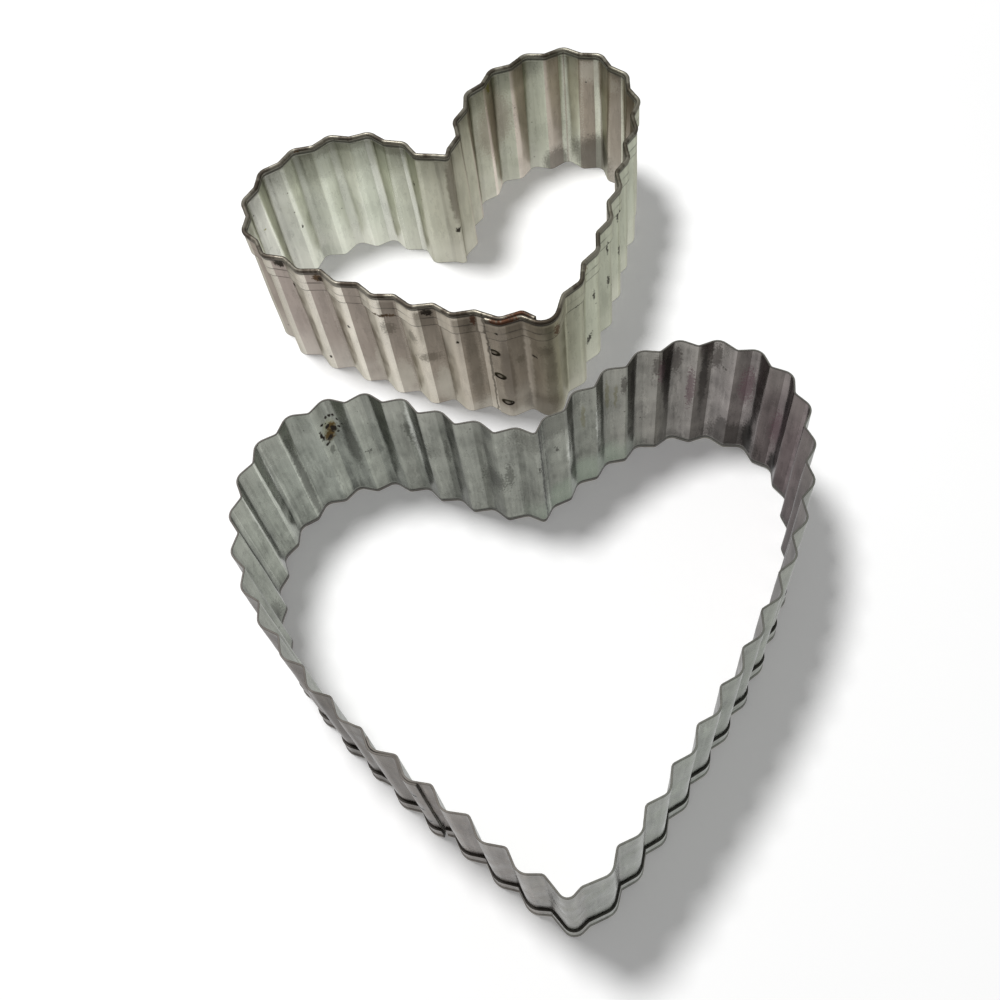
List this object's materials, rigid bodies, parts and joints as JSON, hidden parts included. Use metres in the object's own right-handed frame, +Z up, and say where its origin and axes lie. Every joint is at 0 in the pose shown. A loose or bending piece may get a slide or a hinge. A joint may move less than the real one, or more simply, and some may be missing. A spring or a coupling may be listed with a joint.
{
  "type": "fluted heart cookie cutter set",
  "caption": "Large and small fluted heart-shaped cutters bent from hemmed tinplate strip, with lapped spot-welded seams, for stamping shapes from rolled dough.",
  "frame": {"origin": "centre of the pair of cutters, on the surface that both stand on", "axes": "+Z up; +Y from the large cutter, which lies with its rim down, to the small cutter, which stands rim up; the points of both hearts face -Y; +X to the right, seen from their points"},
  "size_m": [0.0948, 0.1604, 0.03],
  "materials": {
    "tinplate": "aged dull tinplate, stained, rim worn bright",
    "weld_steel": "bare fused steel, hidden in the seam"
  },
  "bodies": {
    "large_cutter": {"large_cutter_band": "tinplate", "large_cutter_spot_welds": "weld_steel"},
    "small_cutter": {"small_cutter_band": "tinplate", "small_cutter_spot_welds": "weld_steel"}
  },
  "joints": [
    {"name": "small_cutter_lift", "type": "slide", "parent": "large_cutter", "child": "small_cutter", "axis": [0, 0, 1], "range_m": [0, 0.06]}
  ]
}
